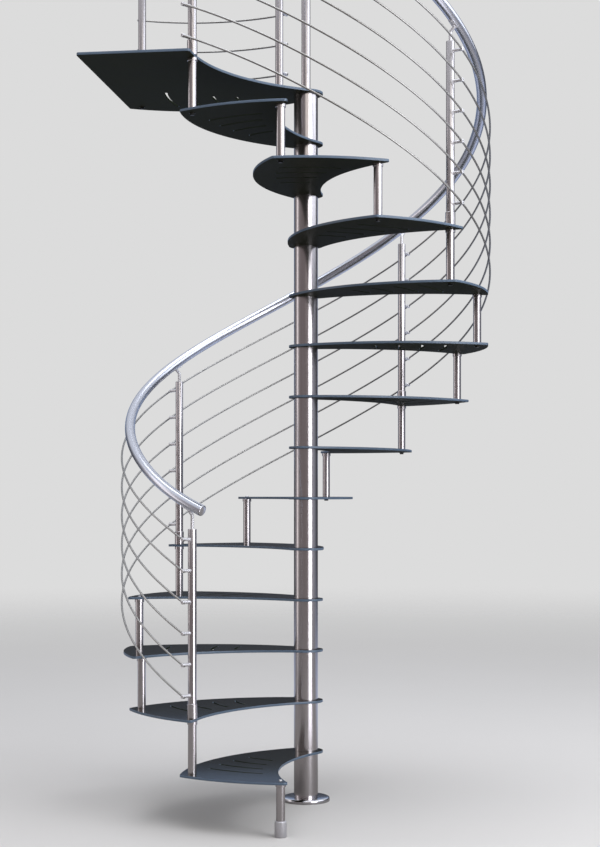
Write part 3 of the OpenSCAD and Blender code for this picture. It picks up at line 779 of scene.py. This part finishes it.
class STAIR_OT_rails(bpy.types.Operator):
    """Bend the handrails and rods and cap the handrails"""

    bl_idname = "stair.rails"
    bl_label = "Handrails and rods"

    def cap(self, sizes):
        """Domed end cap with a fine joint behind it, along Z."""
        half = mm(sizes.rail_d) / 2
        thick = mm(sizes.cap_t)
        depth = 0.6
        joint = 0.7
        rim = 1.5
        profile = [(0, half - depth), (joint, half - depth), (joint, half), (rim, half)]
        for step in range(1, 9):
            bend = math.radians(10 * step)
            profile.append((rim + (thick - rim) * math.sin(bend), half * math.cos(bend)))
        return turned(profile, FITTING_SIDES)

    def climbing(self, sizes):
        """Climbing handrail with its caps, and the six rods below it."""
        climb = sizes.riser / POST_TURN
        start = POST_TURN - RAIL_PAST
        turn = FLIGHT_TURN + 2 * RAIL_PAST
        low = sizes.riser + sizes.rail_h + climb * start
        rail = swept_bar(sizes.rail_d, RAIL_SIDES, sizes.rail_r, start, turn, low, climb * turn, RAIL_STEPS)
        eased(rail, rail_height, sizes, start, low)
        keep(rail, "handrail_tube", ["brushed_stainless_helix"], ["handrail"])
        ends = []
        for place, quarter in ((start, -math.pi / 2), (start + turn, math.pi / 2)):
            slope = slope_at(rail_height, sizes, place, sizes.rail_r)
            end = at_post(place / POST_TURN, sizes.rail_r, rail_height(sizes, place))
            ends.append(end @ Matrix.Rotation(quarter - slope, 4, "X"))
        caps = set_out(self.cap(sizes), ends)
        keep(caps, "handrail_cap_set", ["polished_stainless"], ["handrail_caps"])

        spare = sizes.rod_end / math.hypot(sizes.rod_r, climb)
        start = POST_TURN - spare
        turn = FLIGHT_TURN + 2 * spare
        for number, node in enumerate(RODS):
            low = sizes.riser + sizes.rod_first_h + number * sizes.rod_pitch + climb * start
            rod = swept_bar(sizes.rod_d, ROD_SIDES, sizes.rod_r, start, turn, low, climb * turn, ROD_STEPS)
            eased(rod, rod_height, sizes, start, low)
            keep(rod, node + "_round", ["drawn_stainless_helix"], [node])

    def level(self, sizes):
        """Level handrail of the landing with its caps, and the six level rods."""
        centre = Matrix.Translation((sizes.level_x, sizes.level_y, 0))
        past = RAIL_PAST * sizes.rail_r / sizes.level_post_r
        first = math.radians(LANDING_POSTS[0]) - past
        last = newel_side(sizes) + past
        height = sizes.landing_height + sizes.landing_rail_h
        rail = swept_bar(sizes.rail_d, RAIL_SIDES, sizes.level_post_r, first + math.pi, last - first,
                         height, 0, LEVEL_RAIL_STEPS)
        keep(moved(rail, centre), "landing_handrail_tube", ["brushed_stainless_arc"],
             ["landing_handrail"])
        ends = []
        for turn, quarter in ((first, -math.pi / 2), (last, math.pi / 2)):
            end = at_landing(sizes, math.degrees(turn), sizes.level_post_r, sizes.landing_rail_h)
            ends.append(end @ Matrix.Rotation(quarter, 4, "X"))
        caps = set_out(self.cap(sizes), ends)
        keep(caps, "landing_cap_set", ["polished_stainless"], ["landing_rail_caps"])

        half = math.radians(LANDING_POSTS[1]) + sizes.rod_end / sizes.level_rod_r
        rods = []
        for number in range(len(RODS)):
            height = sizes.landing_height + sizes.level_rod_first_h + number * sizes.level_rod_pitch
            rods.append(swept_bar(sizes.rod_d, ROD_SIDES, sizes.level_rod_r, math.pi - half, 2 * half,
                                  height, 0, LEVEL_ROD_STEPS))
        keep(moved(joined(rods), centre), "landing_rod_set", ["drawn_stainless_arc"],
             ["landing_rods"])

    def execute(self, context):
        self.climbing(context.scene.stair_sizes)
        self.level(context.scene.stair_sizes)
        return {"FINISHED"}


class STAIR_OT_clamps(bpy.types.Operator):
    """Turn the clamps that hold the rods to the balusters"""

    bl_idname = "stair.clamps"
    bl_label = "Rod clamps"

    def clamp(self, sizes, reach, slope):
        """Clamp along X from a post's axis, bored for a rod that rises at a slope."""
        half = mm(sizes.post_d) / 2
        arm = mm(sizes.arm_d) / 2
        head = mm(sizes.head_d) / 2
        near = mm(reach - sizes.head_l / 2)
        end = mm(reach + sizes.head_l / 2)
        lip = 1.2
        pattern = turned([(half - 2, arm + lip), (half + lip, arm + lip), (half + 1.8, arm),
                          (near - lip, arm), (near, head - 1), (near + 1, head),
                          (end - lip, head), (end, head - lip)], CLAMP_SIDES)
        along = Matrix.Rotation(math.pi / 2, 4, "Y")
        moved(pattern, along)
        bore = mm(sizes.rod_d) / 2 + 0.3
        drill = turned([(-30, bore), (30, bore)], PIN_SIDES)
        rising = Matrix.Rotation(math.pi / 2 - slope, 4, "X")
        cut_away(pattern, moved(drill, Matrix.Translation((reach, 0, 0)) @ rising))
        socket = turned([(end - 3, 2.3), (end + 3, 2.3)], 6)
        cut_away(pattern, moved(socket, along))
        return pattern

    def execute(self, context):
        sizes = context.scene.stair_sizes
        reach = sizes.rod_r - sizes.post_r
        sets = []
        for number in BALUSTER_POSTS:
            lowest = rod_height(sizes, number * POST_TURN)
            heights = [lowest + step * sizes.rod_pitch for step in range(len(RODS))]
            places = [at_post(number, sizes.post_r, height) for height in heights]
            slope = slope_at(rod_height, sizes, number * POST_TURN, sizes.rod_r)
            sets.append(set_out(self.clamp(sizes, reach, slope), places))
        keep(joined(sets), "rod_clamp_set", ["satin_stainless"], ["rod_clamps"])
        places = []
        for turn in LANDING_POSTS:
            for step in range(len(RODS)):
                height = sizes.level_rod_first_h + step * sizes.level_rod_pitch
                places.append(at_landing(sizes, turn, sizes.level_post_r, height))
        clamps = set_out(self.clamp(sizes, sizes.level_rod_r - sizes.level_post_r, 0), places)
        keep(clamps, "landing_clamp_set", ["satin_stainless"], ["landing_rod_clamps"])
        return {"FINISHED"}


class STAIR_OT_brackets(bpy.types.Operator):
    """Bend the pins and form the saddles that carry the handrails"""

    bl_idname = "stair.brackets"
    bl_label = "Handrail brackets"

    def saddle(self, sizes, slope):
        """Saddle plate with two screws, hollowed to a handrail along Y whose centre is the origin."""
        clear_selection()
        thick = sizes.saddle_t
        middle = -sizes.rail_d / 2 - sizes.saddle_gap - thick / 2
        bpy.ops.mesh.primitive_plane_add(size=1)
        plate = bpy.context.object
        edit_all()
        bpy.ops.transform.resize(value=(thick, sizes.saddle_l, 1), center_override=(0, 0, 0))
        leave_edit()
        lean = Matrix.Rotation(-SADDLE_HALF_SPAN, 4, "Y")
        moved(plate, lean @ Matrix.Translation((0, 0, middle)) @ Matrix.Rotation(math.pi / 2, 4, "Y"))
        pick(plate)
        edit_all()
        bpy.ops.mesh.spin(steps=10, angle=-2 * SADDLE_HALF_SPAN, center=(0, 0, 0), axis=(0, 1, 0))
        leave_edit()
        close_up(plate)
        round_edges(plate, SADDLE_EDGE, SADDLE_SHARP_ANGLE)
        screws = []
        sunk = 0.0006
        for side in (-0.32, 0.32):
            screw = turned([(0, 2.6), (0.4, 3.4), (1.2, 3.4), (1.8, 2.8), (2.1, 1.6)], ROD_SIDES)
            place = Matrix.Translation((0, side * sizes.saddle_l, middle - thick / 2 + sunk))
            screws.append(moved(screw, place @ Matrix.Rotation(math.pi, 4, "X")))
        return moved(joined([plate] + screws), Matrix.Rotation(-slope, 4, "X"))

    def pin(self, sizes, rise, reach):
        """Pin that stands on a post and bends outwards until it is reach further out and rise higher."""
        clear_selection()
        straight = rise
        if reach > 0:
            run = (reach - PIN_BEND * (1 - math.cos(PIN_LEAN))) / math.sin(PIN_LEAN)
            straight = rise - PIN_BEND * math.sin(PIN_LEAN) - run * math.cos(PIN_LEAN)
        bpy.ops.mesh.primitive_circle_add(vertices=PIN_SIDES, radius=sizes.pin_d / 2, fill_type="NGON")
        bar = bpy.context.object
        edit_all()
        bpy.ops.mesh.extrude_region_move(TRANSFORM_OT_translate={"value": (0, 0, straight)})
        if reach > 0:
            bpy.ops.mesh.spin(steps=8, angle=-PIN_LEAN, center=(PIN_BEND, 0, straight), axis=(0, 1, 0))
            far = (run * math.sin(PIN_LEAN), 0, run * math.cos(PIN_LEAN))
            bpy.ops.mesh.extrude_region_move(TRANSFORM_OT_translate={"value": far})
        leave_edit()
        close_up(bar)
        return bar

    def bracket(self, sizes, post_top, rail_centre, reach, slope):
        """Pin and saddle together, with the post's axis on Z and its foot at the origin."""
        seat = sizes.rail_d / 2 + sizes.saddle_t / 2 + sizes.pin_drop
        rise = rail_centre - seat / math.cos(slope) - post_top
        bar = moved(self.pin(sizes, rise, reach), Matrix.Translation((0, 0, post_top)))
        plate = moved(self.saddle(sizes, slope), Matrix.Translation((reach, 0, rail_centre)))
        return joined([bar, plate])

    def execute(self, context):
        sizes = context.scene.stair_sizes
        brackets = []
        for number in BALUSTER_POSTS:
            stand = (number + 1) * sizes.riser
            height = rail_height(sizes, number * POST_TURN) - stand
            slope = slope_at(rail_height, sizes, number * POST_TURN, sizes.rail_r)
            bracket = self.bracket(sizes, sizes.baluster_h, height, sizes.rail_r - sizes.post_r, slope)
            brackets.append(moved(bracket, at_post(number, sizes.post_r, stand)))
        keep(joined(brackets), "rail_bracket_set", ["satin_stainless"], ["rail_brackets"])

        post_top = sizes.landing_post_h
        rail_centre = sizes.landing_rail_h
        straight = set_out(self.bracket(sizes, post_top, rail_centre, 0, 0), landing_corners(sizes, 0))
        newel_r = math.hypot(sizes.level_x, sizes.level_y)
        bent = self.bracket(sizes, post_top, rail_centre, sizes.level_post_r - newel_r, 0)
        moved(bent, at_landing(sizes, math.degrees(newel_side(sizes)), newel_r, 0))
        keep(joined([straight, bent]), "landing_bracket_set", ["satin_stainless"],
             ["landing_brackets"])
        return {"FINISHED"}


class STAIR_OT_screws(bpy.types.Operator):
    """Set the screws on the treads' front corners and the bolts under their rear corners"""

    bl_idname = "stair.screws"
    bl_label = "Screws and bolts"

    def execute(self, context):
        sizes = context.scene.stair_sizes
        screw = turned([(-1, 7), (0.3, 7.4), (1.4, 7.6), (3.0, 6.6), (4.2, 4.8), (4.6, 3.4)], 28)
        socket = turned([(2.2, 2.9), (8, 2.9)], 6)
        cut_away(screw, socket)
        tops = [at_post(number, sizes.post_r, (number + 1) * sizes.riser) for number in SCREW_POSTS]
        keep(set_out(screw, tops), "tread_screws", ["polished_stainless"], [])

        washer = turned([(-0.5, 12), (0.3, 12.6), (1.6, 12.6), (2.2, 12)], POST_SIDES)
        head = turned([(2.2, 9.4), (7.6, 9.8), (8.6, 8.6)], 6)
        bolt = moved(joined([washer, head]), Matrix.Rotation(math.pi, 4, "X"))
        unders = [at_post(number, sizes.post_r, number * sizes.riser - sizes.plate) for number in LEVELS]
        unders += landing_corners(sizes, -sizes.plate)
        keep(set_out(bolt, unders), "tread_bolts", ["blackened_bolt"], [])
        return {"FINISHED"}


class STAIR_OT_stage(bpy.types.Operator):
    """Lay the floor, hang the lights and set the camera"""

    bl_idname = "stair.stage"
    bl_label = "Stage"

    def light(self, name, place, aim, wide, tall, strength, tint, spread=True, mirrored=True):
        """Soft box of a radiance and tint that matt surfaces, glossy ones or both see, and no camera."""
        lamp = bpy.data.lights.new(name, "AREA")
        lamp.shape = "RECTANGLE"
        lamp.size = wide
        lamp.size_y = tall
        lamp.energy = strength * math.pi * wide * tall
        lamp.color = linear(tint)[:3]
        box = bpy.data.objects.new(name, lamp)
        box.location = place
        box.rotation_euler = (Vector(aim) - Vector(place)).to_track_quat("-Z", "Y").to_euler()
        box.visible_camera = False
        box.visible_diffuse = spread
        box.visible_glossy = mirrored
        bpy.context.collection.objects.link(box)

    def room(self, colours):
        """Room that the metal mirrors, by direction and height, and a pale backdrop for the camera."""
        world = bpy.data.worlds.new("room")
        world.use_nodes = True
        tree = world.node_tree
        place = add_node(tree, "TexCoord", {})
        axes = add_node(tree, "SeparateXYZ", {}, {0: place.outputs["Generated"]})
        ahead = add_node(tree, "Math", {"operation": "MULTIPLY", 1: -1.0}, {0: axes.outputs[1]})
        compass = add_node(tree, "Math", {"operation": "ARCTAN2"},
                           {0: axes.outputs[0], 1: ahead.outputs[0]})
        share = add_node(tree, "MapRange", {1: -math.pi, 2: math.pi}, {0: compass.outputs[0]})
        walls = add_node(tree, "ValToRGB", {}, {0: share.outputs[0]})
        # Shares of the way round, from straight behind by the left, the front and the right
        stops = [(0.0, colours.room_back), (0.15, colours.room_back), (0.26, colours.room_left),
                 (0.36, colours.room_front), (0.60, colours.room_front), (0.74, colours.room_right),
                 (0.86, colours.room_back), (1.0, colours.room_back)]
        ramp = walls.color_ramp
        ramp.elements[0].color = stops[0][1]
        ramp.elements[1].color = stops[-1][1]
        for position, shade in stops[1:-1]:
            ramp.elements.new(position).color = shade
        # The walls give way to the ceiling from 12 to 40 degrees up
        height = add_node(tree, "MapRange", {"interpolation_type": "SMOOTHSTEP", 1: 0.20, 2: 0.65},
                          {0: axes.outputs[2]})
        whole = add_node(tree, "Mix", {"data_type": "RGBA", 7: colours.ceiling},
                         {0: height.outputs[0], 6: walls.outputs[0]})
        mirrored = tree.nodes["Background"]
        tree.links.new(whole.outputs[2], mirrored.inputs["Color"])
        seen = add_node(tree, "Background", {"Color": colours.backdrop, "Strength": 1.0})
        rays = add_node(tree, "LightPath", {})
        both = add_node(tree, "MixShader", {},
                        {0: rays.outputs["Is Camera Ray"], 1: mirrored.outputs[0], 2: seen.outputs[0]})
        tree.links.new(both.outputs[0], tree.nodes["World Output"].inputs["Surface"])
        bpy.context.scene.world = world

    def floor(self, colours):
        """Plain floor that fades into the backdrop some metres away; the metal and the bounced light see it
        in a darker painted shade tone, and in a bluish painted light behind the stair.
        """
        clear_selection()
        bpy.ops.mesh.primitive_circle_add(vertices=96, radius=30, fill_type="NGON")
        floor = bpy.context.object
        floor.name = "floor"
        tree, shader, place = new_finish("plain_floor", 0.0)
        # Clouds 0.8 m across
        clouds = add_node(tree, "TexNoise", {"Scale": across(833), "Detail": 3.0}, {"Vector": place})
        tone = add_node(tree, "Mix",
                        {"data_type": "RGBA", 6: shaded(colours.floor, 0.97), 7: colours.floor},
                        {0: clouds.outputs[0]})
        rays = add_node(tree, "LightPath", {})
        axes = add_node(tree, "SeparateXYZ", {}, {0: place})
        # The bluish painted light behind the stair sets in from 0.5 to 3 m back
        behind = add_node(tree, "MapRange", {"interpolation_type": "SMOOTHSTEP", 1: 0.5, 2: 3.0},
                          {0: axes.outputs[1]})
        # Rays other than the camera's see the floor in painted shade, with a bluish painted light behind the
        # stair
        mirrored = add_node(tree, "Mix",
                            {"data_type": "RGBA", 6: colours.floor_mirrored_shade, 7: colours.floor_far_painted_light},
                            {0: behind.outputs[0]})
        seen = add_node(tree, "Mix", {"data_type": "RGBA"},
                        {0: rays.outputs["Is Camera Ray"], 6: mirrored.outputs[2], 7: tone.outputs[2]})
        tree.links.new(seen.outputs[2], shader.inputs["Base Color"])
        shader.inputs["Roughness"].default_value = 0.7
        shader.inputs["Specular IOR Level"].default_value = 0.2
        away = add_node(tree, "VectorMath", {"operation": "LENGTH"}, {0: place})
        # The floor fades out from 1.5 to 16 m away
        fade = add_node(tree, "MapRange", {"interpolation_type": "SMOOTHSTEP", 1: 1.5, 2: 16.0},
                        {0: away.outputs["Value"]})
        clear = add_node(tree, "BsdfTransparent", {})
        both = add_node(tree, "MixShader", {},
                        {0: fade.outputs[0], 1: shader.outputs[0], 2: clear.outputs[0]})
        tree.links.new(both.outputs[0], tree.nodes["Material Output"].inputs["Surface"])
        floor.data.materials.append(bpy.data.materials["plain_floor"])

    def camera(self):
        """Camera at the fitted view."""
        lens = bpy.data.cameras.new("photo_view")
        lens.lens = LENS_MM
        lens.sensor_width = SENSOR_MM
        lens.shift_x, lens.shift_y = LENS_SHIFT
        lens.clip_end = 200
        camera = bpy.data.objects.new("photo_view", lens)
        camera.location = CAMERA_PLACE
        camera.rotation_euler = (math.pi / 2, 0, CAMERA_TURN)
        bpy.context.collection.objects.link(camera)
        bpy.context.scene.camera = camera

    def execute(self, context):
        colours = context.scene.stair_colours
        self.floor(colours)
        self.room(colours)
        self.light("key_strip", (3.8, -3.2, 2.0), (0, 0, 1.7), 2.6, 4.6, 3.4, "#fbfbff", spread=False)
        self.light("key_spread", (3.8, -3.2, 3.6), (0, 0, 1.2), 2.6, 2.6, 4.6, "#fbfbff", mirrored=False)
        self.light("upper_window", (5.0, -0.3, 4.7), (0, 0, 2.8), 6.4, 3.0, 1.5, "#f2f6ff")
        self.light("front_window", (2.6, -5.8, 5.0), (0, 0, 2.8), 5.0, 2.8, 0.8, "#fff8ee")
        self.light("left_fill", (-4.8, -0.9, 2.4), (0, 0, 1.6), 1.2, 4.5, 0.9, "#fff6f2")
        self.light("overhead", (0.2, -0.4, 8.0), (0, 0, 0), 6.0, 6.0, 2.4, "#f6f8ff")
        self.light("back_sky", (-0.8, 6.0, 2.85), (-0.2, 0, 0.8), 9.0, 2.9, 0.6, "#8aa0c4", spread=False)
        self.light("floor_glow", (2.3, -1.9, 0.25), (0, 0, 30.0), 1.1, 3.4, 1.2, "#f4f2ff", spread=False)
        self.camera()
        bpy.context.scene.view_settings.view_transform = "Standard"
        return {"FINISHED"}


OPERATORS = (STAIR_OT_finishes, STAIR_OT_column, STAIR_OT_plates, STAIR_OT_posts, STAIR_OT_rails,
             STAIR_OT_clamps, STAIR_OT_brackets, STAIR_OT_screws, STAIR_OT_stage)


class STAIR_PT_panel(bpy.types.Panel):
    """Sizes, colours and building steps of the stair"""

    bl_idname = "STAIR_PT_panel"
    bl_label = "Spiral Stair"
    bl_space_type = "VIEW_3D"
    bl_region_type = "UI"
    bl_category = "Stair"

    def draw(self, context):
        for operator in OPERATORS:
            self.layout.operator(operator.bl_idname)
        for group in (context.scene.stair_sizes, context.scene.stair_colours):
            column = self.layout.column(align=True)
            for name in group.bl_rna.properties.keys():
                if name not in ("rna_type", "name"):
                    column.prop(group, name)


CLASSES = (StairSizes, StairColours) + OPERATORS + (STAIR_PT_panel,)


def register():
    """Registers the classes and the scene's settings."""
    for cls in CLASSES:
        bpy.utils.register_class(cls)
    bpy.types.Scene.stair_sizes = bpy.props.PointerProperty(type=StairSizes)
    bpy.types.Scene.stair_colours = bpy.props.PointerProperty(type=StairColours)


def unregister():
    """Removes the scene's settings and the classes."""
    del bpy.types.Scene.stair_colours
    del bpy.types.Scene.stair_sizes
    for cls in reversed(CLASSES):
        bpy.utils.unregister_class(cls)


def main():
    """Builds the whole stair."""
    register()
    bpy.ops.stair.finishes()
    bpy.ops.stair.column()
    bpy.ops.stair.plates()
    bpy.ops.stair.posts()
    bpy.ops.stair.rails()
    bpy.ops.stair.clamps()
    bpy.ops.stair.brackets()
    bpy.ops.stair.screws()
    bpy.ops.stair.stage()


if __name__ == "__main__":
    main()
